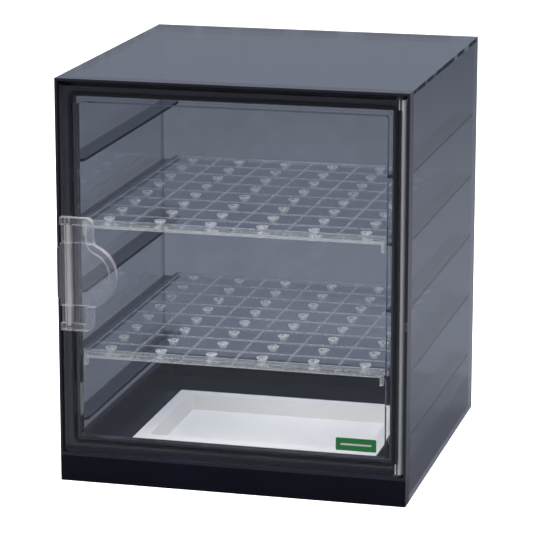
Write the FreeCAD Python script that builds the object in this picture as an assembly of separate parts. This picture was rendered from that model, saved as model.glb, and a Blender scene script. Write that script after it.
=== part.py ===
import FreeCAD, Part
import os
from math import sqrt

Vector = FreeCAD.Vector

# Bench-top desiccator cabinet of bonded plastic sheet, with a clear hinged door.
# All lengths are millimetres.  Pieces are laid out from the cabinet's front left bottom
# corner (+X right, +Y to the back, +Z up) and moved to the part's origin when written.

# ---- driving dimensions: cabinet ----
WIDTH = 345.0
DEPTH = 350.0
HEIGHT = 400.0
WALL = 4.0

# ---- driving dimensions: base and front frame ----
PLINTH_HEIGHT = 26.0          # front face of the base, below the door frame
LEDGE_HEIGHT = 35.0           # raised border of the base inside the walls
LEDGE_WIDTH = 8.0
FLOOR_TOP = 16.0
FLOOR_THICK = 3.5
PLINTH_RIB = 6.0
PLINTH_CORNER = 3.0           # radius of the sunk floor's upright corners
PLINTH_DRAFT = 1.0            # how far the sunk floor's sides lean out at the top
FRAME_DEPTH = 17.0
FRAME_RIM = 2.5               # rim around the door opening
SEAL_FLANGE_THICK = 3.0
SEAL_FLANGE_SIDE = 18.0       # from the outer face to the flange's inner edge
SEAL_FLANGE_TOP = 18.0
SEAL_FLANGE_BOTTOM = 18.0

# ---- driving dimensions: shelf rails ----
RAIL_COUNT = 5
RAIL_LOWEST_TOP = 60.8
RAIL_PITCH = 64.7
RAIL_WIDTH = 19.0
RAIL_THICK = 3.0
RAIL_END_RADIUS = 6.0

# ---- driving dimensions: door ----
DOOR_LEFT = 5.0
DOOR_RIGHT = 341.6
DOOR_BOTTOM = 31.5
DOOR_TOP = 393.5
DOOR_THICK = 12.0
DOOR_PANEL = 3.0
DOOR_STEP = 1.5               # centre panel stands this far in front of the door's border
DOOR_BORDER = 16.0
DOOR_BORDER_BOTTOM = 14.0
DOOR_CORNER = 2.0
DOOR_CORNER_INNER = 2.5       # corners of the recess behind the centre panel
DOOR_STEP_CORNER = 4.0
DOOR_STEP_LIP = 1.5           # how far the raised panel laps over the border
BEAD_INSET = 9.0
BEAD_INSET_HINGE = 13.5       # keeps the bead clear of the frame when the door is open
BEAD_WIDTH = 2.6
BEAD_PROUD = 1.2
BEAD_CORNER = 6.5

# ---- driving dimensions: door seal ----
SEAL_INSET = 7.0
SEAL_INSET_HINGE = 9.0
SEAL_WIDTH = 2.6
SEAL_CORNER = 4.0
SEAL_CORNER_INNER = 1.4
SEAL_DEPTH = 5.0              # part of the seal that sits in the door's groove
SEAL_GAP = 0.1                # between the seal and the frame's flange

# ---- driving dimensions: door pivots ----
PIVOT_RADIUS = 2.0
PIVOT_CLEARANCE = 0.05
PIVOT_GRIP = 10.0             # length of each pin inside the door
PIVOT_BUSH_RADIUS = 4.5
PIVOT_END_GAP = 0.2

# ---- driving dimensions: latch ----
LATCH_BOTTOM = 155.0
LATCH_TOP = 266.5
LATCH_RIGHT = 38.5
LATCH_CORNER = 7.0
LATCH_RIM = 7.0
LATCH_PROUD = 10.0
LATCH_WEB = 2.5
LEVER_BOTTOM = 179.0
LEVER_TOP = 241.5
LEVER_RADIUS = 31.0
LATCH_HOLLOW_RADIUS = 8.0     # hollow arc from the neck into the wing
LEVER_CENTRE_X = 31.0
LEVER_LIFT = 1.0              # gap between the lever and the door
JOINT_GAP = 0.4
LATCH_AXIS_X = 13.5
LATCH_AXIS_Y = -6.0
LATCH_ROD_RADIUS = 2.0
LATCH_BARREL_RADIUS = 4.0
LATCH_NOSE_REACH = 8.0
LATCH_NOSE_FRONT = 2.5        # nose thickness in front of the rod's axis
LATCH_NOSE_BACK = 0.5         # and behind it
LATCH_FOOT_INSET = 0.5        # from the door's left edge
LATCH_FOOT_RISE = 5.0         # solid foot below the lower bracket's slot
BRACKET_SETBACK = 1.0         # the brackets stand this much less proud than the lever
LATCH_CORNER_LEAST = 1.0
SLOT_DEPTH = 1.2
SLOT_HEIGHT = 1.6
KEEPER_HEIGHT = 50.0
KEEPER_PROUD = 3.0
KEEPER_INSET = 0.3

# ---- driving dimensions: small pieces on the front ----
LABEL_LEFT = 277.0
LABEL_BOTTOM = 53.0
LABEL_WIDTH = 39.5
LABEL_HEIGHT = 12.5
LABEL_THICK = 0.4
LABEL_CORNER = 1.2
CLIP_CENTRE = 177.8
CLIP_HEIGHT = 7.0
CLIP_PROUD = 1.0

# ---- driving dimensions: perforated shelves ----
SHELF_WIDTH = 305.0
SHELF_FRONT = 5.0
SHELF_NOSE_WIDTH = 297.0      # narrower stretch inside the doorway
SHELF_DEPTH = 336.0
SHELF_PLATE = 3.0
SHELF_SKIRT = 2.5             # height of the rim under the plate
SHELF_RIB_DROP = 1.0          # how far the ribs hang below the plate
SHELF_RIB_WIDTH = 2.2
SHELF_EDGE = 3.0
SHELF_COLUMNS = 6
SHELF_ROWS = 8
FUNNEL_TOP_RADIUS = 5.6
FUNNEL_LOW_RADIUS = 3.4
FUNNEL_DEPTH = 6.5
FUNNEL_HOLE = 2.0
FUNNEL_MOUTH = 4.2
FUNNEL_LIP = 0.8              # raised ring round the funnel's mouth
FUNNEL_OUTLET = 1.5           # straight length of the hole at the funnel's foot
TAB_DROP = 8.0
TAB_WIDTH = 3.0
TAB_DEPTH = 7.0
LOWER_SHELF_RAIL = 2
UPPER_SHELF_RAIL = 4

# ---- driving dimensions: desiccant tray ----
TRAY_LEFT = 58.0
TRAY_FRONT = 52.0
TRAY_WIDTH = 247.0
TRAY_DEPTH = 175.0
TRAY_HEIGHT = 17.0
TRAY_LIP = 14.0
TRAY_SHEET = 2.0
TRAY_TAPER = 4.0
TRAY_CORNER = 5.0

# ---- modelling allowances ----
PAST = 1.0                    # how far a cutting shape runs past the face it opens
WELD = 0.5                    # how far a raised detail sinks into the wall that it is part of

# ---- values worked out from the driving dimensions ----
PANEL_FRONT = FRAME_DEPTH
PANEL_BACK = DEPTH - WALL
PANEL_TOP = HEIGHT - WALL
PIVOT_X = DOOR_RIGHT - DOOR_THICK / 2
PIVOT_Y = DOOR_THICK / 2
MID_Z = (LEVER_TOP + LEVER_BOTTOM) / 2
UPPER_SLOT_Z = LATCH_TOP - LATCH_RIM
LOWER_SLOT_Z = LATCH_BOTTOM + LATCH_FOOT_RISE
ORIGIN = Vector(WIDTH / 2, (DEPTH - LATCH_PROUD) / 2, 0)
OUTWARD = (-1, 1, -1, 1)      # signs that grow a rectangle given as (x0, x1, y0, y1)


def block(x0, x1, y0, y1, z0, z1):
    """A box between two opposite corners."""
    return Part.makeBox(x1 - x0, y1 - y0, z1 - z0, Vector(x0, y0, z0))


def upright_rod(x, y, z0, z1, radius):
    """A round rod along Z."""
    return Part.makeCylinder(radius, z1 - z0, Vector(x, y, z0))


def rounded_outline(u0, u1, v0, v1, radii, place):
    """A closed rectangle with its own radius at each corner.

    radii run anticlockwise from the corner (u0, v0); place(u, v) gives the point in space.
    """
    corners = ((u0, v0, 1, 1), (u1, v0, -1, 1), (u1, v1, -1, -1), (u0, v1, 1, -1))
    edges = []
    stops = []
    for index, ((u, v, to_u, to_v), radius) in enumerate(zip(corners, radii)):
        along_u = (u + to_u * radius, v)
        along_v = (u, v + to_v * radius)
        enter, leave = (along_v, along_u) if index % 2 == 0 else (along_u, along_v)
        if radius > 0:
            pull = radius * (1 - 1 / sqrt(2))
            middle = (u + to_u * pull, v + to_v * pull)
            edges.append((enter, middle, leave))
        stops.append((enter, leave))
    shape_edges = []
    arc_edges = iter(edges)
    for index, radius in enumerate(radii):
        if radius > 0:
            enter, middle, leave = next(arc_edges)
            shape_edges.append(Part.Arc(place(*enter), place(*middle), place(*leave)).toShape())
        following = stops[(index + 1) % len(stops)][0]
        shape_edges.append(Part.makeLine(place(*stops[index][1]), place(*following)))
    return Part.Wire(shape_edges)


def upright_slab(x0, x1, z0, z1, y0, y1, radii):
    """A plate standing in the XZ plane with rounded corners, from y0 back to y1."""
    outline = rounded_outline(x0, x1, z0, z1, radii, lambda u, v: Vector(u, y0, v))
    return Part.Face(outline).extrude(Vector(0, y1 - y0, 0))


def level_outline(x0, x1, y0, y1, z, radius):
    """A rounded rectangle at height z."""
    return rounded_outline(x0, x1, y0, y1, (radius,) * 4, lambda u, v: Vector(u, v, z))


def tapered_block(low, high, z0, z1, radius):
    """A solid between two level rounded rectangles, each given as (x0, x1, y0, y1)."""
    wires = [level_outline(*low, z0, radius), level_outline(*high, z1, radius)]
    return Part.makeLoft(wires, True, True)


def joined(pieces):
    """One solid from touching pieces."""
    return pieces[0].fuse(pieces[1:]).removeSplitter()


def top_panel():
    return block(0, WIDTH, PANEL_FRONT, DEPTH, PANEL_TOP, HEIGHT)


def side_panel(x0):
    return block(x0, x0 + WALL, PANEL_FRONT, DEPTH, 0, PANEL_TOP)


def back_panel():
    return block(WALL, WIDTH - WALL, PANEL_BACK, DEPTH, LEDGE_HEIGHT, PANEL_TOP)


def base_plinth():
    """Black tray-like base: a full-width front, a border inside the walls and a sunk floor."""
    front = block(0, WIDTH, 0, PANEL_FRONT, 0, PLINTH_HEIGHT)
    body = block(WALL, WIDTH - WALL, PANEL_FRONT, DEPTH, 0, LEDGE_HEIGHT)
    shape = joined([front, body])
    inner = (WALL + LEDGE_WIDTH, WIDTH - WALL - LEDGE_WIDTH)
    low = (*inner, PANEL_FRONT + LEDGE_WIDTH, DEPTH - LEDGE_WIDTH - WALL)
    high = tuple(value + sign * PLINTH_DRAFT for value, sign in zip(low, OUTWARD))
    shape = shape.cut(tapered_block(low, high, FLOOR_TOP, LEDGE_HEIGHT, PLINTH_CORNER))
    half_rib = PLINTH_RIB / 2
    middle_x = WIDTH / 2
    middle_y = ORIGIN.y
    hollow_top = FLOOR_TOP - FLOOR_THICK
    left, right = inner[0] - WALL, inner[1] + WALL
    for x0, x1 in ((left, middle_x - half_rib), (middle_x + half_rib, right)):
        for y0, y1 in ((WALL, middle_y - half_rib), (middle_y + half_rib, DEPTH - WALL)):
            shape = shape.cut(block(x0, x1, y0, y1, 0, hollow_top))
    return shape


def front_frame():
    """Moulded rim around the door opening, with an inward flange that the seal meets."""
    outer = block(0, WIDTH, 0, FRAME_DEPTH, PLINTH_HEIGHT, HEIGHT)
    opening_bottom = PLINTH_HEIGHT + FRAME_RIM
    opening = block(FRAME_RIM, WIDTH - FRAME_RIM, -PAST, FRAME_DEPTH - SEAL_FLANGE_THICK,
                    opening_bottom, HEIGHT - FRAME_RIM)
    window = block(SEAL_FLANGE_SIDE, WIDTH - SEAL_FLANGE_SIDE, 0, FRAME_DEPTH + PAST,
                   PLINTH_HEIGHT + SEAL_FLANGE_BOTTOM, HEIGHT - SEAL_FLANGE_TOP)
    frame = outer.cut(opening).cut(window)
    pins = [upright_rod(PIVOT_X, PIVOT_Y, z0, z1, PIVOT_RADIUS) for z0, z1 in pivot_spans()]
    for pin in pins:
        frame = frame.cut(pin)
    return frame


def shelf_rail(on_left, number):
    """Level strip bonded to a side wall, with its front free corner rounded."""
    top = RAIL_LOWEST_TOP + (number - 1) * RAIL_PITCH
    if on_left:
        x0, x1 = WALL, WALL + RAIL_WIDTH
        radii = (0, RAIL_END_RADIUS, 0, 0)
    else:
        x0, x1 = WIDTH - WALL - RAIL_WIDTH, WIDTH - WALL
        radii = (RAIL_END_RADIUS, 0, 0, 0)
    low = top - RAIL_THICK
    outline = rounded_outline(x0, x1, PANEL_FRONT, PANEL_BACK, radii,
                              lambda u, v: Vector(u, v, low))
    return Part.Face(outline).extrude(Vector(0, 0, RAIL_THICK))


def pivot_spans():
    """Lowest and highest z of the upper and the lower pivot pin."""
    upper = (DOOR_TOP - PIVOT_GRIP, HEIGHT)
    lower = (PLINTH_HEIGHT, DOOR_BOTTOM + PIVOT_GRIP)
    return upper, lower


def bush_spans():
    """Lowest and highest z of the bush above the door and the one below it."""
    upper = (DOOR_TOP + PIVOT_END_GAP, HEIGHT - FRAME_RIM)
    lower = (PLINTH_HEIGHT + FRAME_RIM, DOOR_BOTTOM - PIVOT_END_GAP)
    return upper, lower


def hinge_pin(span):
    return upright_rod(PIVOT_X, PIVOT_Y, span[0], span[1], PIVOT_RADIUS)


def hinge_bush(span):
    ring = upright_rod(PIVOT_X, PIVOT_Y, span[0], span[1], PIVOT_BUSH_RADIUS)
    return ring.cut(upright_rod(PIVOT_X, PIVOT_Y, span[0], span[1], PIVOT_RADIUS))


def ring_limits(inset, hinge_inset):
    """x0, x1, z0, z1 of a rectangle set in from the door's outline."""
    return DOOR_LEFT + inset, DOOR_RIGHT - hinge_inset, DOOR_BOTTOM + inset, DOOR_TOP - inset


def seal_ring(y0, y1):
    """The band followed by the seal and its groove."""
    x0, x1, z0, z1 = ring_limits(SEAL_INSET, SEAL_INSET_HINGE)
    outer = upright_slab(x0, x1, z0, z1, y0, y1, (SEAL_CORNER,) * 4)
    inner = upright_slab(x0 + SEAL_WIDTH, x1 - SEAL_WIDTH, z0 + SEAL_WIDTH, z1 - SEAL_WIDTH,
                         y0 - PAST, y1 + PAST, (SEAL_CORNER_INNER,) * 4)
    return outer.cut(inner)


def door_panel():
    """Clear moulding: a stepped border, a raised centre panel and a round hinge edge."""
    border = upright_slab(DOOR_LEFT, PIVOT_X, DOOR_BOTTOM, DOOR_TOP, 0, DOOR_THICK,
                          (DOOR_CORNER, 0, 0, DOOR_CORNER))
    hinge_edge = upright_rod(PIVOT_X, PIVOT_Y, DOOR_BOTTOM, DOOR_TOP, DOOR_THICK / 2)
    door = joined([border, hinge_edge])
    x0, x1 = DOOR_LEFT + DOOR_BORDER, DOOR_RIGHT - DOOR_BORDER - DOOR_STEP_LIP
    z0, z1 = DOOR_BOTTOM + DOOR_BORDER_BOTTOM, DOOR_TOP - DOOR_BORDER
    door = door.cut(upright_slab(x0, x1, z0, z1, DOOR_PANEL - DOOR_STEP, DOOR_THICK + PAST,
                                 (DOOR_CORNER_INNER,) * 4))
    raised = upright_slab(x0 - DOOR_STEP_LIP, x1 + DOOR_STEP_LIP, z0 - DOOR_STEP_LIP,
                          z1 + DOOR_STEP_LIP, -DOOR_STEP, WELD, (DOOR_STEP_CORNER,) * 4)
    door = door.fuse([raised, door_bead()]).removeSplitter()
    door = door.cut(seal_ring(DOOR_THICK - SEAL_DEPTH, DOOR_THICK + PAST))
    for z0, z1 in pivot_spans():
        door = door.cut(upright_rod(PIVOT_X, PIVOT_Y, z0, z1, PIVOT_RADIUS + PIVOT_CLEARANCE))
    return door


def door_bead():
    """Raised bead that runs round the door's border."""
    x0, x1, z0, z1 = ring_limits(BEAD_INSET, BEAD_INSET_HINGE)
    width = BEAD_WIDTH
    outer = upright_slab(x0, x1, z0, z1, -BEAD_PROUD, WELD, (BEAD_CORNER,) * 4)
    inner = upright_slab(x0 + width, x1 - width, z0 + width, z1 - width, -BEAD_PROUD - PAST,
                         WELD + PAST, (BEAD_CORNER - width,) * 4)
    return outer.cut(inner)


def door_gasket():
    front = DOOR_THICK - SEAL_DEPTH
    back = FRAME_DEPTH - SEAL_FLANGE_THICK - SEAL_GAP
    return seal_ring(front, back)


def latch_outline(inset, y0, y1):
    """The latch's whole outline, smaller all round by inset: a neck and a round wing."""
    corner = max(LATCH_CORNER - inset, LATCH_CORNER_LEAST)
    neck = upright_slab(DOOR_LEFT + LATCH_FOOT_INSET, LATCH_RIGHT - inset, LATCH_BOTTOM + inset,
                        LATCH_TOP - inset, y0, y1, (0, corner, corner, 0))
    wing = Part.makeCylinder(LEVER_RADIUS - inset, y1 - y0,
                             Vector(LEVER_CENTRE_X, y0, MID_Z), Vector(0, 1, 0))
    wing = wing.common(block(LATCH_AXIS_X, WIDTH, -DEPTH, DEPTH, 0, HEIGHT))
    return joined([neck, wing] + [latch_hollow_corner(inset, y0, y1, side) for side in (-1, 1)])


def latch_hollow_corner(inset, y0, y1, side):
    """Fills the corner between neck and wing to a hollow arc, above (1) or below (-1)."""
    wing_radius = LEVER_RADIUS - inset
    hollow_radius = LATCH_HOLLOW_RADIUS + inset
    edge_x = LATCH_RIGHT - inset
    reach_x = edge_x + hollow_radius - LEVER_CENTRE_X
    reach_z = sqrt((wing_radius + hollow_radius) ** 2 - reach_x ** 2)
    share = wing_radius / (wing_radius + hollow_radius)
    meet_x = LEVER_CENTRE_X + reach_x * share
    ends = sorted((MID_Z + side * reach_z * share, MID_Z + side * reach_z))
    fill = block(edge_x - PAST, meet_x, y0, y1, *ends)
    centre = Vector(edge_x + hollow_radius, y0 - PAST, MID_Z + side * reach_z)
    round_cutter = Part.makeCylinder(hollow_radius, y1 - y0 + 2 * PAST, centre, Vector(0, 1, 0))
    return fill.cut(round_cutter)


def latch_rim(y0, y1):
    """Thick border along the latch's top, free side and bottom."""
    return latch_outline(0, y0, y1).cut(latch_outline(LATCH_RIM, y0 - PAST, y1 + PAST))


def slice_between(shape, z0, z1):
    """The part of a shape between two heights."""
    return shape.common(block(-WIDTH, WIDTH, -DEPTH, DEPTH, z0, z1))


def latch_bracket(z0, z1, slot_z):
    """Fixed end of the latch on the door: a foot, a thick rim and a knuckle for the rod."""
    foot = slice_between(latch_outline(0, -DOOR_STEP - LATCH_WEB, 0), z0, z1)
    rim = slice_between(latch_rim(-LATCH_PROUD + BRACKET_SETBACK, -DOOR_STEP), z0, z1)
    knuckle = upright_rod(LATCH_AXIS_X, LATCH_AXIS_Y, z0, z1, LATCH_BARREL_RADIUS)
    web = block(LATCH_AXIS_X - LATCH_BARREL_RADIUS, LATCH_AXIS_X + LATCH_BARREL_RADIUS,
                LATCH_AXIS_Y, -DOOR_STEP, z0, z1)
    shape = joined([foot, rim, knuckle, web])
    shape = shape.cut(door_relief())
    slot = block(DOOR_LEFT, LATCH_RIGHT - LATCH_RIM, -LATCH_PROUD - PAST,
                 LATCH_AXIS_Y - LATCH_BARREL_RADIUS + SLOT_DEPTH, slot_z, slot_z + SLOT_HEIGHT)
    shape = shape.cut(slot)
    return shape.cut(latch_pivot_rod())


def door_relief():
    """The door's raised bead and panel step, which the latch's feet are cut to sit over."""
    x0, x1, z0, z1 = ring_limits(BEAD_INSET, BEAD_INSET_HINGE)
    return upright_slab(x0, x1, z0, z1, -DOOR_STEP, WELD, (BEAD_CORNER,) * 4)


def latch_lever():
    """Swinging middle of the latch: a barrel on the rod and a round finger wing."""
    z0, z1 = LEVER_BOTTOM + JOINT_GAP, LEVER_TOP - JOINT_GAP
    back = -DOOR_STEP - LEVER_LIFT
    rim = slice_between(latch_rim(-LATCH_PROUD, back), z0, z1)
    plate = slice_between(latch_outline(0, back - LATCH_WEB, back), z0, z1)
    plate = plate.cut(block(-WIDTH, LATCH_AXIS_X, -DEPTH, DEPTH, z0, z1))
    barrel = upright_rod(LATCH_AXIS_X, LATCH_AXIS_Y, z0, z1, LATCH_BARREL_RADIUS)
    nose = block(LATCH_AXIS_X - LATCH_NOSE_REACH, LATCH_AXIS_X, LATCH_AXIS_Y - LATCH_NOSE_FRONT,
                 LATCH_AXIS_Y + LATCH_NOSE_BACK, z0, z1)
    shape = joined([rim, plate, barrel, nose])
    bore = LATCH_ROD_RADIUS + PIVOT_CLEARANCE
    return shape.cut(upright_rod(LATCH_AXIS_X, LATCH_AXIS_Y, z0, z1, bore))


def latch_pivot_rod():
    """Rod that runs from the lower bracket's slot to the upper one's."""
    return upright_rod(LATCH_AXIS_X, LATCH_AXIS_Y, LOWER_SLOT_Z, UPPER_SLOT_Z, LATCH_ROD_RADIUS)


def latch_keeper():
    half = KEEPER_HEIGHT / 2
    return block(KEEPER_INSET, FRAME_RIM, -KEEPER_PROUD, 0, MID_Z - half, MID_Z + half)


def rim_clip():
    half = CLIP_HEIGHT / 2
    return block(WIDTH - FRAME_RIM, WIDTH, -CLIP_PROUD, 0, CLIP_CENTRE - half, CLIP_CENTRE + half)


def label_plate():
    return upright_slab(LABEL_LEFT, LABEL_LEFT + LABEL_WIDTH, LABEL_BOTTOM,
                        LABEL_BOTTOM + LABEL_HEIGHT, -DOOR_STEP - LABEL_THICK, -DOOR_STEP,
                        (LABEL_CORNER,) * 4)


def funnel(centre):
    """The solids and the holes of one funnel whose mouth is centred on the shelf's top."""
    foot = centre - Vector(0, 0, FUNNEL_DEPTH)
    outlet_top = foot + Vector(0, 0, FUNNEL_OUTLET)
    cone = Part.makeCone(FUNNEL_LOW_RADIUS, FUNNEL_TOP_RADIUS, FUNNEL_DEPTH, foot)
    mouth = Part.makeCone(FUNNEL_HOLE, FUNNEL_MOUTH, FUNNEL_DEPTH - FUNNEL_OUTLET, outlet_top)
    outlet = Part.makeCylinder(FUNNEL_HOLE, FUNNEL_OUTLET + WELD, foot - Vector(0, 0, WELD))
    lip = Part.makeCylinder(FUNNEL_TOP_RADIUS, FUNNEL_LIP, centre)
    lip_hole = Part.makeCylinder(FUNNEL_MOUTH, FUNNEL_LIP + WELD, centre)
    return [cone, lip], [mouth, outlet, lip_hole]


def shelf(rail_number):
    """Clear shelf: a plate with ribs below, a skirt, funnel holes and two front tabs."""
    base = RAIL_LOWEST_TOP + (rail_number - 1) * RAIL_PITCH
    plate_low = base + SHELF_SKIRT
    rib_low = plate_low - SHELF_RIB_DROP
    top = plate_low + SHELF_PLATE
    x0, x1 = (WIDTH - SHELF_WIDTH) / 2, (WIDTH + SHELF_WIDTH) / 2
    y0, y1 = SHELF_FRONT, SHELF_FRONT + SHELF_DEPTH
    nose_x0, nose_x1 = (WIDTH - SHELF_NOSE_WIDTH) / 2, (WIDTH + SHELF_NOSE_WIDTH) / 2
    pitch_x = SHELF_WIDTH / SHELF_COLUMNS
    pitch_y = SHELF_DEPTH / SHELF_ROWS
    half = SHELF_RIB_WIDTH / 2
    edge = SHELF_EDGE
    skirt = block(x0, x1, y0, y1, base, plate_low)
    skirt = skirt.cut(block(x0 + edge, x1 - edge, y0 + edge, y1 - edge, base, plate_low))
    pieces = [block(x0, x1, y0, y1, plate_low, top), skirt]
    for column in range(1, SHELF_COLUMNS):
        x = x0 + column * pitch_x
        pieces.append(block(x - half, x + half, y0, y1, rib_low, plate_low))
    for row in range(1, SHELF_ROWS):
        y = y0 + row * pitch_y
        pieces.append(block(x0, x1, y - half, y + half, rib_low, plate_low))
    pieces.append(block(x0, x1, FRAME_DEPTH, FRAME_DEPTH + edge, base, plate_low))
    for side_x in (nose_x0, nose_x1 - edge):
        pieces.append(block(side_x, side_x + edge, y0, FRAME_DEPTH, base, plate_low))
    for tab_x in (nose_x0, nose_x1 - TAB_WIDTH):
        pieces.append(block(tab_x, tab_x + TAB_WIDTH, y0, y0 + TAB_DEPTH, base - TAB_DROP, base))
    cuts = [block(x0, nose_x0, y0, FRAME_DEPTH, base, top),
            block(nose_x1, x1, y0, FRAME_DEPTH, base, top)]
    for column in range(SHELF_COLUMNS):
        for row in range(SHELF_ROWS):
            centre = Vector(x0 + (column + 0.5) * pitch_x, y0 + (row + 0.5) * pitch_y, top)
            solids, holes = funnel(centre)
            pieces.extend(solids)
            cuts.extend(holes)
    return joined(pieces).cut(cuts)


def desiccant_tray():
    """Shallow white tray with a flat lip and sloping sides."""
    x0, x1 = TRAY_LEFT, TRAY_LEFT + TRAY_WIDTH
    y0, y1 = TRAY_FRONT, TRAY_FRONT + TRAY_DEPTH
    z0, z1 = FLOOR_TOP, FLOOR_TOP + TRAY_HEIGHT
    lip = block(x0, x1, y0, y1, z1 - TRAY_SHEET, z1)
    high = (x0 + TRAY_LIP, x1 - TRAY_LIP, y0 + TRAY_LIP, y1 - TRAY_LIP)
    low = tuple(value - sign * TRAY_TAPER for value, sign in zip(high, OUTWARD))
    outer_high = tuple(value + sign * TRAY_SHEET for value, sign in zip(high, OUTWARD))
    outer_low = tuple(value + sign * TRAY_SHEET for value, sign in zip(low, OUTWARD))
    pan = tapered_block(outer_low, outer_high, z0, z1, TRAY_CORNER + TRAY_SHEET)
    hollow = tapered_block(low, high, z0 + TRAY_SHEET, z1, TRAY_CORNER)
    return joined([lip, pan]).cut(hollow)


def write(name, shape):
    """Move a piece from the layout corner to the part's origin and write it."""
    shape.translate(ORIGIN * -1)
    solids = len(shape.Solids)
    box = shape.BoundBox
    print(f"{name}: solids {solids}, valid {shape.isValid()}, volume {shape.Volume:.0f}, "
          f"y {box.YMin:.1f} to {box.YMax:.1f}")
    shape.exportStep(f"parts/{name}.step")


def main():
    os.makedirs("parts", exist_ok=True)
    write("top_panel", top_panel())
    write("left_side_panel", side_panel(0))
    write("right_side_panel", side_panel(WIDTH - WALL))
    write("back_panel", back_panel())
    write("base_plinth", base_plinth())
    write("front_frame", front_frame())
    for number in range(1, RAIL_COUNT + 1):
        write(f"shelf_rail_left_{number}", shelf_rail(True, number))
        write(f"shelf_rail_right_{number}", shelf_rail(False, number))
    for end, pin_span, bush_span in zip(("upper", "lower"), pivot_spans(), bush_spans()):
        write(f"hinge_pin_{end}", hinge_pin(pin_span))
        write(f"hinge_bush_{end}", hinge_bush(bush_span))
    write("rim_clip", rim_clip())
    write("latch_keeper", latch_keeper())
    write("door_panel", door_panel())
    write("door_gasket", door_gasket())
    write("latch_bracket_upper", latch_bracket(LEVER_TOP, LATCH_TOP, UPPER_SLOT_Z))
    write("latch_bracket_lower", latch_bracket(LATCH_BOTTOM, LEVER_BOTTOM, LOWER_SLOT_Z - SLOT_HEIGHT))
    write("latch_pivot_rod", latch_pivot_rod())
    write("latch_lever", latch_lever())
    write("label_plate", label_plate())
    write("lower_shelf", shelf(LOWER_SHELF_RAIL))
    write("upper_shelf", shelf(UPPER_SHELF_RAIL))
    write("desiccant_tray", desiccant_tray())


main()
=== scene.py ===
"""Looks of the bench-top desiccator cabinet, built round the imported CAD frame."""
from math import radians

import bmesh
import bpy
from mathutils import Euler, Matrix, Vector


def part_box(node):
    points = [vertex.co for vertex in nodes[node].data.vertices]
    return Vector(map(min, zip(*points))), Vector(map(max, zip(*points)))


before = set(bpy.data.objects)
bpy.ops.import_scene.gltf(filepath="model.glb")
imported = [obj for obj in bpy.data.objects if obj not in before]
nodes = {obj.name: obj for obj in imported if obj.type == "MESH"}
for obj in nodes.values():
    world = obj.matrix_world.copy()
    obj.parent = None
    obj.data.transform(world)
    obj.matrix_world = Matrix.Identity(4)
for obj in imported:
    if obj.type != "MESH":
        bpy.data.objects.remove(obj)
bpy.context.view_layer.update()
scene = bpy.context.scene

# ---- colours, linear ----
WHITE = (1.0, 1.0, 1.0)
SMOKE_TINT = (0.62, 0.64, 0.69)          # what one face of a smoke sheet lets through
SMOKE_HAZE = (0.20, 0.22, 0.26)
# painted shade and painted highlight for the sheets' cut edges, standing in for the light a sheet carries
# to its edges
EDGE_PAINTED_SHADE = (0.003, 0.003, 0.006)
EDGE_PAINTED_HIGHLIGHT = (0.42, 0.56, 0.60)
RAIL_TINT = (0.34, 0.32, 0.40)
FRAME_BLACK = (0.023, 0.022, 0.035)
BASE_BLACK = (0.007, 0.008, 0.017)
CLEAR_TINT = (0.96, 0.97, 0.98)
SHELF_TINT = (0.97, 0.98, 0.99)
# white for the latch's faint haze, and painted highlight on the door's rounded edges and the shelves'
# funnels and ribs
HAZE_AND_HIGHLIGHT_WHITE = (0.88, 0.90, 0.91)
LATCH_TINT = (0.98, 0.98, 0.985)
# painted shade on the latch's side walls, standing in for the outlines a clear moulding's walls show
LATCH_OUTLINE_SHADE = (0.66, 0.64, 0.69)
LAMP_WARM = (1.0, 0.965, 0.91)
TRAY_WHITE = (0.93, 0.91, 0.87)
LABEL_GREEN = (0.030, 0.270, 0.065)
LABEL_WHITE = (0.85, 0.88, 0.84)
SEAL_BLACK = (0.008, 0.008, 0.014)
PIN_METAL = (0.80, 0.77, 0.62)
BUSH_GREY = (0.05, 0.05, 0.06)
PIN_DARK = (0.06, 0.06, 0.07)
FLOOR_PALE = (0.93, 0.93, 0.93)
FLOOR_WHITE = (0.90, 0.90, 0.90)         # glow that keeps the far floor as pale as the near floor
FLOOR_DIM = (0.155, 0.168, 0.195)        # the floor as plastic mirrors it or lets it through
FLOOR_THROUGH = (0.195, 0.190, 0.200)    # glow added to it where it shows through plastic
FLOOR_MIRRORED = (0.050, 0.056, 0.070)   # glow added to it where plastic mirrors it
STUDIO_BLUE = (0.280, 0.312, 0.375)      # the studio as the plastic mirrors it
STUDIO_THROUGH = (0.76, 0.78, 0.86)      # the studio as it shows through the plastic
STUDIO_DARK = (0.080, 0.080, 0.105)      # the unlit side, in front of the door

PLASTIC_IOR = 1.49
SQUARE_ON_GLOSS = 0.04        # share that polished plastic mirrors when seen square on
FLOOR_RADIUS = 3.0
FUNNEL_LIP = 0.0008           # ring that stands above a shelf's plate
SHELF_PLATE = 0.003
FACE_MARGIN = 0.0003          # how near a height counts as on the face
# shares of painted highlight on the shelves' funnels and ribs and the door's rounded edges
FUNNEL_HIGHLIGHT = 0.50
RIB_HIGHLIGHT = 0.24
DOOR_LINE_HIGHLIGHT = 0.75
LATCH_HAZE = 0.035
WALL_SHADE = 0.40             # how much of a thin moulding's side walls is shaded
FLOOR_SEGMENTS = 96
LABEL_BAR_ACROSS = 0.76       # the label's pale bar, as shares of its half width
LABEL_BAR_UPWARD = 0.15       # and half height

NOISE_LOW = 0.35              # the span that most of a noise's values lie in
NOISE_HIGH = 0.65
EDGE_GLINT_SPAN = (0.50, 0.62)
SPECKLE_SPAN = (0.40, 0.60)
SQUARE_SPAN = (0.90, 0.97)    # squareness at which a surface turns from edge to face
LEAN_SPAN = (0.15, 0.25)      # squareness at which it starts to lean
FRONT_SPAN = (-0.45, 0.15)    # directions over which the studio turns from dark to lit
EVEN_BLEND = 0.5
GLOSS_POWER = 5.0
AT_LEAST_ONE = 0.5            # tells a count of none from a count of one
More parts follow.
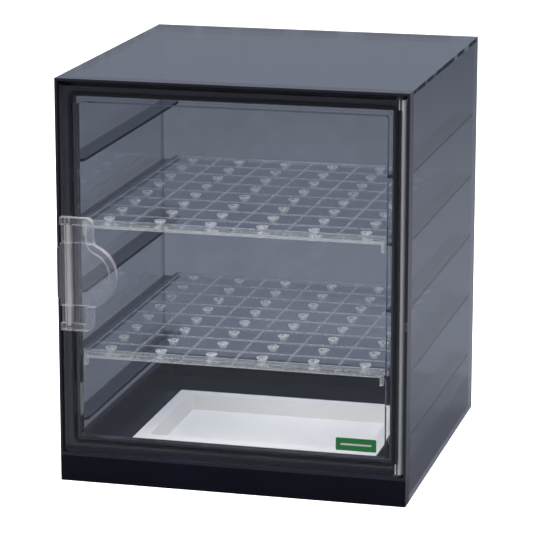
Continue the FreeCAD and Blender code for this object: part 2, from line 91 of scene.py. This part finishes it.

# ---- grain, waviness and painted edge streaks, in waves per metre ----
SHEET_SMUDGE = 9.0
SHEET_FINE = 60.0
SHEET_SWELL = 7.0
# scale of the painted highlight streaks along the sheets' edges
SHEET_EDGE_GLINT = 30.0
CLEAR_SMUDGE = 14.0
CLEAR_SWELL = 11.0
SHELF_SPECKLE = 420.0
LATCH_SWELL = 16.0
LATCH_SMUDGE = 40.0
PLASTIC_SMUDGE = 12.0
PLASTIC_GRAIN = 240.0
TRAY_GRAIN = 300.0
PIN_RINGS = 40.0
PIN_STRETCH = (1.0, 1.0, 60.0)
LABEL_MOTTLE = 300.0
LABEL_SHEEN = 80.0

# ---- bump: strength, and depth in metres ----
SHEET_WAVE = (0.05, 0.002)
DOOR_WAVE = (0.05, 0.001)
SHELF_WAVE = (0.04, 0.001)
LATCH_WAVE = (0.08, 0.002)
PLASTIC_BUMP = (0.05, 0.0004)
TRAY_BUMP = (0.03, 0.0004)

# ---- roughness: smoothest and roughest ----
SHEET_ROUGH = (0.01, 0.05)
DOOR_ROUGH = (0.0, 0.02)
SHELF_ROUGH = (0.0, 0.03)
LATCH_ROUGH = (0.02, 0.07)
BLACK_ROUGH = (0.05, 0.12)
BUSH_ROUGH = (0.30, 0.45)
SEAL_ROUGH = (0.45, 0.60)
TRAY_ROUGH = (0.28, 0.42)
LABEL_ROUGH = (0.30, 0.42)
PIN_ROUGH = (0.12, 0.26)
EDGE_ROUGH = 0.3
WALL_ROUGH = 0.10
FLOOR_ROUGH = 0.8

# ---- shares and shades ----
SHEET_HAZE = 0.03
RAIL_HAZE = 0.05
# how much painted highlight the cut edges get, on the side sheets and on the top
SHEET_EDGE_HIGHLIGHT = 0.3
TOP_EDGE_HIGHLIGHT = 0.45
SIDE_EDGE_COVER = 0.35
EDGE_GLOSS = 0.05
BASE_GLOSS = 0.15
ROD_METALLIC = 0.35
SPECKLE_LEAST = 0.45
SHEET_SHADE = 0.96
HAZE_SHADE = 1.25
CLEAR_SHADE = 0.98
WALL_LIGHTER = 1.5
PLASTIC_SHADE = 0.8
TRAY_SHADE = 0.97
MOTTLE_SHADE = 0.85

# ---- softened edges, in metres ----
FINE_EDGE = 0.0003
SHEET_EDGE = 0.0004
MOULDED_EDGE = 0.0006
ROUND_EDGE = 0.0008
BEVEL_SEGMENTS = 2
BEVEL_ANGLE = 40.0
GLASS_BOUNCES = 24
SHEET_CROSSINGS = 32

# ---- camera, in metres, millimetres and degrees ----
CAMERA_PLACE = (0.6751, -2.6523, 0.8489)
CAMERA_DOWN = 13.61
CAMERA_TURN = 14.44
CAMERA_LENS = 188.3
CAMERA_SENSOR = 36.0
CAMERA_NEAR = 0.1
CAMERA_FAR = 100.0

# ---- lamps: name, place, aim, width, height, watts, colour ----
LAMPS = (
    ("overhead", (0.0, 0.1, 2.2), (0.0, 0.0, 0.2), 2.4, 2.4, 95.0, LAMP_WARM),
    ("front_key", (-0.7, -1.6, 1.9), (0.0, 0.0, 0.1), 1.0, 1.0, 16.0, LAMP_WARM),
    ("left_strip", (-1.8, -0.3, 0.9), (0.0, 0.0, 0.2), 0.25, 1.4, 5.0, LAMP_WARM),
    ("right_strip", (1.8, 0.2, 0.9), (0.0, 0.0, 0.2), 0.25, 1.4, 4.0, WHITE),
)


# ---- node helpers ----
def new_material(name):
    """An empty node material and its output node."""
    material = bpy.data.materials.new(name)
    material.use_nodes = True
    tree = material.node_tree
    tree.nodes.clear()
    output = tree.nodes.new("ShaderNodeOutputMaterial")
    return material, tree, output


def add(tree, kind, **values):
    """A node with its input sockets set by name."""
    node = tree.nodes.new(kind)
    for name, value in values.items():
        socket = node.inputs[name.replace("_", " ")]
        if isinstance(value, bpy.types.NodeSocket):
            tree.links.new(value, socket)
        elif isinstance(value, tuple) and len(value) == 3 and socket.type == "RGBA":
            socket.default_value = (*value, 1.0)
        else:
            socket.default_value = value
    return node


def object_point(tree, stretch=(1.0, 1.0, 1.0)):
    """Object coordinates, stretched along each axis."""
    coordinates = tree.nodes.new("ShaderNodeTexCoord")
    mapping = tree.nodes.new("ShaderNodeMapping")
    mapping.inputs["Scale"].default_value = stretch
    tree.links.new(coordinates.outputs["Object"], mapping.inputs["Vector"])
    return mapping.outputs["Vector"]


def noise(tree, scale, detail=3.0, stretch=(1.0, 1.0, 1.0), distortion=0.0):
    """Noise in the object's own space, scale in waves per metre."""
    node = add(tree, "ShaderNodeTexNoise", Scale=scale, Detail=detail, Distortion=distortion)
    tree.links.new(object_point(tree, stretch), node.inputs["Vector"])
    return node.outputs["Fac"]


def ranged(tree, value, low, high, from_low=NOISE_LOW, from_high=NOISE_HIGH):
    """A value between from_low and from_high stretched to low and high."""
    node = tree.nodes.new("ShaderNodeMapRange")
    tree.links.new(value, node.inputs["Value"])
    node.inputs["From Min"].default_value = from_low
    node.inputs["From Max"].default_value = from_high
    node.inputs["To Min"].default_value = low
    node.inputs["To Max"].default_value = high
    return node.outputs["Result"]


def scaled(colour, factor):
    """A colour made lighter or darker by a factor."""
    return tuple(channel * factor for channel in colour)


def blend_colours(tree, share, first, second):
    """first where share is 0 and second where it is 1."""
    node = tree.nodes.new("ShaderNodeMix")
    node.data_type = "RGBA"
    for socket, value in ((node.inputs[0], share), (node.inputs[6], first), (node.inputs[7], second)):
        if isinstance(value, bpy.types.NodeSocket):
            tree.links.new(value, socket)
        else:
            socket.default_value = (*value, 1.0) if isinstance(value, tuple) else value
    return node.outputs[2]


def bump(tree, height, strength, distance):
    """A bump normal from a height value."""
    node = add(tree, "ShaderNodeBump", Height=height, Strength=strength, Distance=distance)
    return node.outputs["Normal"]


def mixed(tree, share, first, second):
    """Two shaders mixed by share."""
    node = tree.nodes.new("ShaderNodeMixShader")
    if isinstance(share, bpy.types.NodeSocket):
        tree.links.new(share, node.inputs[0])
    else:
        node.inputs[0].default_value = share
    tree.links.new(first, node.inputs[1])
    tree.links.new(second, node.inputs[2])
    return node.outputs[0]


def calculated(tree, operation, *values):
    """One arithmetic step on values or sockets."""
    node = tree.nodes.new("ShaderNodeMath")
    node.operation = operation
    for socket, value in zip(node.inputs, values):
        if isinstance(value, bpy.types.NodeSocket):
            tree.links.new(value, socket)
        else:
            socket.default_value = value
    return node.outputs[0]


def squareness(tree, axis):
    """1 where the surface lies square to an axis of the object, 0 where it runs along it."""
    flat_normal = tree.nodes.new("ShaderNodeNewGeometry").outputs["True Normal"]
    to_object = add(tree, "ShaderNodeVectorTransform", Vector=flat_normal)
    to_object.vector_type = "NORMAL"
    to_object.convert_from = "WORLD"
    to_object.convert_to = "OBJECT"
    split = add(tree, "ShaderNodeSeparateXYZ", Vector=to_object.outputs["Vector"])
    return calculated(tree, "ABSOLUTE", split.outputs[axis])


def facing(tree, axis):
    """1 on faces square to an axis of the object and 0 on its edges."""
    return ranged(tree, squareness(tree, axis), 0.0, 1.0, *SQUARE_SPAN)


def sheet_gloss(tree, normal):
    """Share that a polished sheet mirrors, the same from either side of its face."""
    weight = add(tree, "ShaderNodeLayerWeight", Blend=EVEN_BLEND, Normal=normal)
    steep = calculated(tree, "POWER", weight.outputs["Facing"], GLOSS_POWER)
    return ranged(tree, steep, SQUARE_ON_GLOSS, 1.0, 0.0, 1.0)


def reflected(tree):
    """1 once light has been mirrored or scattered on its way, 0 before."""
    path = tree.nodes.new("ShaderNodeLightPath").outputs
    bounces = calculated(tree, "ADD", path["Glossy Depth"], path["Diffuse Depth"])
    return calculated(tree, "GREATER_THAN", bounces, AT_LEAST_ONE)


def seen_directly(tree):
    """1 for what is looked at with no tinted sheet or mirror in between, 0 for the rest."""
    path = tree.nodes.new("ShaderNodeLightPath").outputs
    seen = calculated(tree, "MAXIMUM", path["Is Camera Ray"], path["Is Transmission Ray"])
    unfiltered = calculated(tree, "LESS_THAN", path["Transparent Depth"], AT_LEAST_ONE)
    straight = calculated(tree, "SUBTRACT", 1.0, reflected(tree))
    return calculated(tree, "MULTIPLY", calculated(tree, "MULTIPLY", seen, unfiltered), straight)


# ---- materials ----
def smoke_sheet(name, axis, tint=SMOKE_TINT, haze=SHEET_HAZE, edge_highlight=SHEET_EDGE_HIGHLIGHT,
                edge_cover=1.0):
    """Polished smoke sheet: tinted and mirror-like on its faces; on its edges painted shade, broken by
    streaks of painted highlight.

    edge_cover is how much of its edges shows: glued edges show less than cut ones.
    """
    material, tree, output = new_material(name)
    smudge = noise(tree, SHEET_SMUDGE, 4.0, distortion=0.4)
    fine = noise(tree, SHEET_FINE, 2.0)
    rough = ranged(tree, smudge, *SHEET_ROUGH)
    waves = bump(tree, noise(tree, SHEET_SWELL, 1.0), *SHEET_WAVE)
    through = add(tree, "ShaderNodeBsdfTransparent",
                  Color=blend_colours(tree, ranged(tree, fine, 0.0, 1.0), tint,
                                      scaled(tint, SHEET_SHADE)))
    cloudy = add(tree, "ShaderNodeBsdfDiffuse",
                 Color=blend_colours(tree, smudge, SMOKE_HAZE,
                                     scaled(SMOKE_HAZE, HAZE_SHADE)))
    shine = add(tree, "ShaderNodeBsdfAnisotropic", Color=WHITE, Roughness=rough, Normal=waves)
    face = mixed(tree, sheet_gloss(tree, waves),
                 mixed(tree, haze, through.outputs[0], cloudy.outputs[0]), shine.outputs[0])
    # painted highlight in broken streaks over painted shade on the edges
    painted_edge_glint = ranged(tree, noise(tree, SHEET_EDGE_GLINT, 2.0), 0.0, edge_highlight, *EDGE_GLINT_SPAN)
    painted_edge = add(tree, "ShaderNodeBsdfPrincipled",
                   Base_Color=blend_colours(tree, painted_edge_glint, EDGE_PAINTED_SHADE, EDGE_PAINTED_HIGHLIGHT), Roughness=EDGE_ROUGH,
                   Specular_IOR_Level=EDGE_GLOSS)
    edge = mixed(tree, edge_cover, through.outputs[0], painted_edge.outputs[0])
    tree.links.new(mixed(tree, facing(tree, axis), edge, face), output.inputs["Surface"])
    return material


def clear_moulding(name, painted_highlight, tint=CLEAR_TINT, rough=DOOR_ROUGH, wave=DOOR_WAVE):
    """Clear moulded plastic that bends light and lets lamps through.

    painted_highlight(tree) gives how much of each point is painted white as a highlight.
    """
    material, tree, output = new_material(name)
    smudge = noise(tree, CLEAR_SMUDGE, 4.0, distortion=0.3)
    flow = noise(tree, CLEAR_SWELL, 1.0)
    colour = blend_colours(tree, ranged(tree, smudge, 0.0, 1.0), tint,
                           scaled(tint, CLEAR_SHADE))
    glass = add(tree, "ShaderNodeBsdfPrincipled", Base_Color=colour,
                Roughness=ranged(tree, smudge, *rough), IOR=PLASTIC_IOR, Transmission_Weight=1.0,
                Normal=bump(tree, flow, *wave))
    lamp_path = tree.nodes.new("ShaderNodeLightPath")
    open_way = add(tree, "ShaderNodeBsdfTransparent", Color=tint)
    body = mixed(tree, lamp_path.outputs["Is Shadow Ray"], glass.outputs[0], open_way.outputs[0])
    # white diffuse painted on as highlight wherever the painted-highlight share is above zero
    white = add(tree, "ShaderNodeBsdfDiffuse", Color=HAZE_AND_HIGHLIGHT_WHITE)
    body = mixed(tree, painted_highlight(tree), body, white.outputs[0])
    tree.links.new(body, output.inputs["Surface"])
    return material


def leaning(tree, axis):
    """1 on bevels and cones that lean away from an axis, 0 on faces square to it or along it."""
    square = squareness(tree, axis)
    return calculated(tree, "MULTIPLY", ranged(tree, square, 0.0, 1.0, *LEAN_SPAN),
                      ranged(tree, square, 1.0, 0.0, *SQUARE_SPAN))


def shelf_highlights(tree, top):
    """Painted highlight: white on the funnels, their lips and the ribs, clear on the shelf's flat plate.
    """
    height = add(tree, "ShaderNodeSeparateXYZ", Vector=object_point(tree)).outputs["Z"]
    lip = calculated(tree, "GREATER_THAN", height, top - FACE_MARGIN)
    plate_low = top - FUNNEL_LIP - SHELF_PLATE
    rib = calculated(tree, "LESS_THAN", height, plate_low - FACE_MARGIN)
    funnel = leaning(tree, "Z")
    ring_highlight = calculated(tree, "MULTIPLY", calculated(tree, "MAXIMUM", lip, funnel), FUNNEL_HIGHLIGHT)
    skirt = calculated(tree, "SUBTRACT", 1.0, facing(tree, "Z"))
    rib_highlight = calculated(tree, "MULTIPLY", calculated(tree, "MAXIMUM", rib, skirt), RIB_HIGHLIGHT)
    speckle = ranged(tree, noise(tree, SHELF_SPECKLE, 2.0), SPECKLE_LEAST, 1.0, *SPECKLE_SPAN)
    return calculated(tree, "MULTIPLY", speckle, calculated(tree, "MAXIMUM", ring_highlight, rib_highlight))


def door_highlight_lines(tree):
    """Painted highlight: white lines where the door's rounded edges lean."""
    return calculated(tree, "MULTIPLY", leaning(tree, "Y"), DOOR_LINE_HIGHLIGHT)


def thin_moulding(name, tint, outline_shade):
    """Clear moulding with thin walls: see-through faces between side walls with painted shade."""
    material, tree, output = new_material(name)
    waves = bump(tree, noise(tree, LATCH_SWELL, 1.0), *LATCH_WAVE)
    smudge = noise(tree, LATCH_SMUDGE, 3.0)
    through = add(tree, "ShaderNodeBsdfTransparent", Color=tint)
    shine = add(tree, "ShaderNodeBsdfAnisotropic", Color=WHITE,
                Roughness=ranged(tree, smudge, *LATCH_ROUGH), Normal=waves)
    cloudy = add(tree, "ShaderNodeBsdfDiffuse", Color=HAZE_AND_HIGHLIGHT_WHITE)
    clear = mixed(tree, LATCH_HAZE, through.outputs[0], cloudy.outputs[0])
    face = mixed(tree, sheet_gloss(tree, waves), clear, shine.outputs[0])
    # painted shade on the side walls, for their outlines
    painted_wall = add(tree, "ShaderNodeBsdfPrincipled",
               Base_Color=blend_colours(tree, ranged(tree, smudge, 0.0, 1.0), outline_shade,
                                        scaled(outline_shade, WALL_LIGHTER)),
               Roughness=WALL_ROUGH)
    side = mixed(tree, WALL_SHADE, through.outputs[0], painted_wall.outputs[0])
    tree.links.new(mixed(tree, facing(tree, "Y"), side, face), output.inputs["Surface"])
    return material


def moulded(name, colour, rough, grain=PLASTIC_GRAIN, relief=PLASTIC_BUMP, shade=PLASTIC_SHADE,
            gloss=0.5):
    """Opaque moulded plastic or rubber with a fine grain and faint smudges."""
    material, tree, output = new_material(name)
    smudge = noise(tree, PLASTIC_SMUDGE, 4.0, distortion=0.5)
    tint = blend_colours(tree, ranged(tree, smudge, 0.0, 1.0), colour,
                         scaled(colour, shade))
    shader = add(tree, "ShaderNodeBsdfPrincipled", Base_Color=tint,
                 Roughness=ranged(tree, smudge, *rough), IOR=PLASTIC_IOR, Specular_IOR_Level=gloss,
                 Normal=bump(tree, noise(tree, grain, 2.0), *relief))
    tree.links.new(shader.outputs[0], output.inputs["Surface"])
    return material


def bright_metal(name, colour, metallic=1.0):
    """Turned pin with fine lines round it."""
    material, tree, output = new_material(name)
    rings = noise(tree, PIN_RINGS, 2.0, PIN_STRETCH)
    shader = add(tree, "ShaderNodeBsdfPrincipled", Base_Color=colour, Metallic=metallic,
                 Roughness=ranged(tree, rings, *PIN_ROUGH))
    tree.links.new(shader.outputs[0], output.inputs["Surface"])
    return material


def printed_label(name, low, high):
    """Green film with a plain pale bar and no lettering."""
    material, tree, output = new_material(name)
    point = add(tree, "ShaderNodeSeparateXYZ", Vector=object_point(tree))
    centre = (low + high) / 2
    half = (high - low) / 2
    across, upward = (calculated(tree, "COMPARE", point.outputs[axis], centre[axis], half[axis] * reach)
                      for axis, reach in ((0, LABEL_BAR_ACROSS), (2, LABEL_BAR_UPWARD)))
    inside = calculated(tree, "MULTIPLY", across, upward)
    mottle = blend_colours(tree, noise(tree, LABEL_MOTTLE, 2.0), LABEL_GREEN,
                           scaled(LABEL_GREEN, MOTTLE_SHADE))
    colour = blend_colours(tree, inside, mottle, LABEL_WHITE)
    shader = add(tree, "ShaderNodeBsdfPrincipled", Base_Color=colour,
                 Roughness=ranged(tree, noise(tree, LABEL_SHEEN), *LABEL_ROUGH))
    tree.links.new(shader.outputs[0], output.inputs["Surface"])
    return material


# ---- dressing the CAD nodes ----
def dress(node_name, material, bevel=0.0):
    """Give a CAD node its material and a softened edge."""
    piece = nodes[node_name]
    piece.data.materials.clear()
    piece.data.materials.append(material)
    if bevel > 0:
        soften = piece.modifiers.new("soft_edges", "BEVEL")
        soften.width = bevel
        soften.segments = BEVEL_SEGMENTS
        soften.limit_method = "ANGLE"
        soften.angle_limit = radians(BEVEL_ANGLE)
        soften.use_clamp_overlap = True


def dress_case():
    """The smoke case, its rails, black base, frame and hinge pins."""
    dress("top_panel", smoke_sheet("smoke_top", "Z", edge_highlight=TOP_EDGE_HIGHLIGHT), SHEET_EDGE)
    dress("left_side_panel", smoke_sheet("smoke_left", "X", edge_cover=SIDE_EDGE_COVER), SHEET_EDGE)
    dress("right_side_panel", smoke_sheet("smoke_right", "X", edge_cover=SIDE_EDGE_COVER), SHEET_EDGE)
    dress("back_panel", smoke_sheet("smoke_back", "Y", edge_cover=0.0))
    # the rails' edges get painted shade only: the dark lines where they meet the walls
    rail = smoke_sheet("smoke_rail", "Z", RAIL_TINT, RAIL_HAZE, 0.0)
    for name in nodes:
        if name.startswith("shelf_rail"):
            dress(name, rail)
    dress("front_frame", moulded("frame_plastic", FRAME_BLACK, BLACK_ROUGH), ROUND_EDGE)
    dress("base_plinth", moulded("base_plastic", BASE_BLACK, BLACK_ROUGH, gloss=BASE_GLOSS),
          MOULDED_EDGE)
    pin = bright_metal("hinge_pin_metal", PIN_DARK)
    bush = moulded("bush_plastic", BUSH_GREY, BUSH_ROUGH)
    for end in ("upper", "lower"):
        dress(f"hinge_pin_{end}", pin, FINE_EDGE)
        dress(f"hinge_bush_{end}", bush, FINE_EDGE)


def dress_door():
    """The clear door with its seal, latch, label and the small pieces on the rim."""
    clear = clear_moulding("clear_door", door_highlight_lines)
    latch = thin_moulding("clear_latch", LATCH_TINT, LATCH_OUTLINE_SHADE)
    dress("door_panel", clear, MOULDED_EDGE)
    dress("door_gasket", moulded("seal_rubber", SEAL_BLACK, SEAL_ROUGH), FINE_EDGE)
    for name in ("latch_bracket_upper", "latch_bracket_lower", "latch_lever", "rim_clip", "latch_keeper"):
        dress(name, latch, SHEET_EDGE)
    dress("latch_pivot_rod", bright_metal("latch_rod_metal", PIN_METAL, ROD_METALLIC), FINE_EDGE)
    low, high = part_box("label_plate")
    dress("label_plate", printed_label("label_film", Vector(low), Vector(high)), 0.0)


def dress_contents():
    """The two clear shelves and the white tray."""
    for name in ("upper_shelf", "lower_shelf"):
        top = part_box(name)[1][2]
        dress(name, clear_moulding(f"clear_{name}", lambda tree: shelf_highlights(tree, top),
                                   SHELF_TINT, SHELF_ROUGH, SHELF_WAVE))
    tray = moulded("tray_plastic", TRAY_WHITE, TRAY_ROUGH, TRAY_GRAIN, TRAY_BUMP, TRAY_SHADE)
    dress("desiccant_tray", tray, ROUND_EDGE)


# ---- surroundings ----
def make_floor():
    """A round pale table top: white when seen directly, dim where plastic mirrors or filters it."""
    mesh = bpy.data.meshes.new("floor")
    shape = bmesh.new()
    bmesh.ops.create_circle(shape, cap_ends=True, segments=FLOOR_SEGMENTS, radius=FLOOR_RADIUS)
    shape.to_mesh(mesh)
    shape.free()
    floor = bpy.data.objects.new("floor", mesh)
    scene.collection.objects.link(floor)
    material, tree, output = new_material("floor_paint")
    direct = seen_directly(tree)
    filtered_glow = blend_colours(tree, reflected(tree), FLOOR_THROUGH, FLOOR_MIRRORED)
    shader = add(tree, "ShaderNodeBsdfPrincipled", Roughness=FLOOR_ROUGH, Specular_IOR_Level=0.0,
                 Base_Color=blend_colours(tree, direct, FLOOR_DIM, FLOOR_PALE),
                 Emission_Color=blend_colours(tree, direct, filtered_glow, FLOOR_WHITE),
                 Emission_Strength=1.0)
    tree.links.new(shader.outputs[0], output.inputs["Surface"])
    mesh.materials.append(material)


def make_world():
    """White when seen directly, pale through plastic, and mirrored as a dim studio, dark in front."""
    world = bpy.data.worlds.new("studio")
    world.use_nodes = True
    tree = world.node_tree
    direction = tree.nodes.new("ShaderNodeTexCoord").outputs["Generated"]
    split = add(tree, "ShaderNodeSeparateXYZ", Vector=direction)
    frontness = ranged(tree, split.outputs["Y"], 1.0, 0.0, *FRONT_SPAN)
    mirrored = blend_colours(tree, frontness, STUDIO_BLUE, STUDIO_DARK)
    studio = blend_colours(tree, reflected(tree), STUDIO_THROUGH, mirrored)
    tree.links.new(blend_colours(tree, seen_directly(tree), studio, WHITE),
                   tree.nodes["Background"].inputs["Color"])
    scene.world = world


def soft_light(name, place, aim, width, height, power, colour):
    """A rectangular lamp turned towards a point."""
    light = bpy.data.lights.new(name, "AREA")
    light.shape = "RECTANGLE"
    light.size = width
    light.size_y = height
    light.energy = power
    light.color = colour
    lamp = bpy.data.objects.new(name, light)
    scene.collection.objects.link(lamp)
    lamp.location = place
    lamp.rotation_euler = (Vector(aim) - Vector(place)).to_track_quat("-Z", "Y").to_euler()


def make_camera():
    """The camera, in front of the cabinet, to its right and above it."""
    data = bpy.data.cameras.new("main")
    data.sensor_width = CAMERA_SENSOR
    data.lens = CAMERA_LENS
    data.clip_start = CAMERA_NEAR
    data.clip_end = CAMERA_FAR
    camera = bpy.data.objects.new("main", data)
    scene.collection.objects.link(camera)
    camera.location = CAMERA_PLACE
    camera.rotation_euler = Euler((radians(90 - CAMERA_DOWN), 0.0, radians(CAMERA_TURN)), "XYZ")
    scene.camera = camera


make_camera()
dress_case()
dress_door()
dress_contents()
make_floor()
make_world()
for lamp in LAMPS:
    soft_light(*lamp)
scene.view_settings.view_transform = "Standard"
scene.cycles.max_bounces = GLASS_BOUNCES
scene.cycles.transmission_bounces = GLASS_BOUNCES
scene.cycles.transparent_max_bounces = SHEET_CROSSINGS
